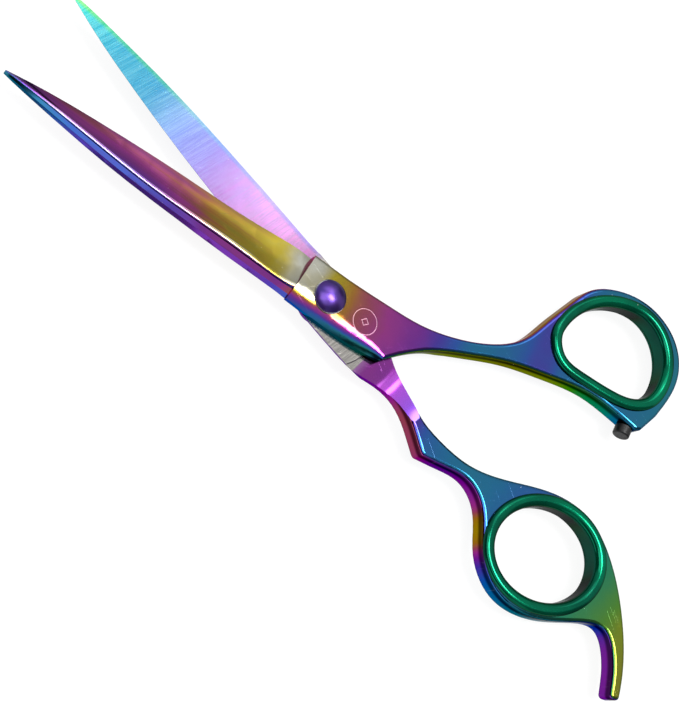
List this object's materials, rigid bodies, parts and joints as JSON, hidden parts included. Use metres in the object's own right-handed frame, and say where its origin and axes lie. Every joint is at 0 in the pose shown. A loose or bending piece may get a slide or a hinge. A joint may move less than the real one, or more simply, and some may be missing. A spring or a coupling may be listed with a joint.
{
  "type": "barber shears",
  "caption": "Rainbow-coated barber shears with two plain blades, D-shaped thumb ring, oval finger ring with a curved finger rest, green ring inserts and a domed pivot screw.",
  "frame": {"origin": "on the pivot axis, in the plane of the tension nut's back face, on which the shears rest when laid down; the plane where the two blades meet is 5.57 mm above it", "axes": "+Z along the pivot axis towards the front of the shears; +X along the finger half from the pivot towards its ring, so the blades point towards -X; +Y towards the thumb ring side"},
  "size_m": [0.1963, 0.0942, 0.0102],
  "materials": {
    "coated_steel_thumb": "mirror polish with an interference coating that runs from gold through purple to blue and green",
    "coated_steel_finger": "mirror polish with an interference coating that runs from green through blue and purple to olive",
    "coated_screw": "mirror polish, deep violet coating",
    "plain_steel": "fine turned finish",
    "spring_steel": "smooth dull grey",
    "green_insert": "glossy, slightly translucent deep green",
    "white_plastic": "smooth low-friction plastic",
    "black_rubber": "matt black rubber"
  },
  "bodies": {
    "finger_side": {"finger_half": "coated_steel_finger", "finger_ring_insert": "green_insert", "pivot_bush": "white_plastic", "ride_washer": "white_plastic", "spring_washer": "spring_steel"},
    "thumb_side": {"thumb_half": "coated_steel_thumb", "thumb_ring_insert": "green_insert", "pivot_screw": "coated_screw", "head_washer": "plain_steel", "bumper_pad": "black_rubber", "bumper_stud": "plain_steel"},
    "washer": {"nut_washer": "plain_steel"},
    "nut": {"tension_nut": "coated_screw"}
  },
  "joints": [
    {"name": "blade_pivot", "type": "hinge", "parent": "finger_side", "child": "thumb_side", "pos_m": [0, 0, 0], "axis": [0, 0, 1], "range_deg": [-16.7, 53.3]},
    {"name": "washer_travel", "type": "slide", "parent": "thumb_side", "child": "washer", "axis": [0, 0, 1], "range_m": [-0.000125, 0.000125], "deforming": ["spring_washer"]},
    {"name": "nut_turn", "type": "hinge", "parent": "washer", "child": "nut", "pos_m": [0, 0, 0], "axis": [0, 0, 1], "range_deg": [-90, 90]}
  ],
  "couplings": [
    {"joint": "nut_turn", "follows": "washer_travel", "rad_per_m": 12566}
  ]
}
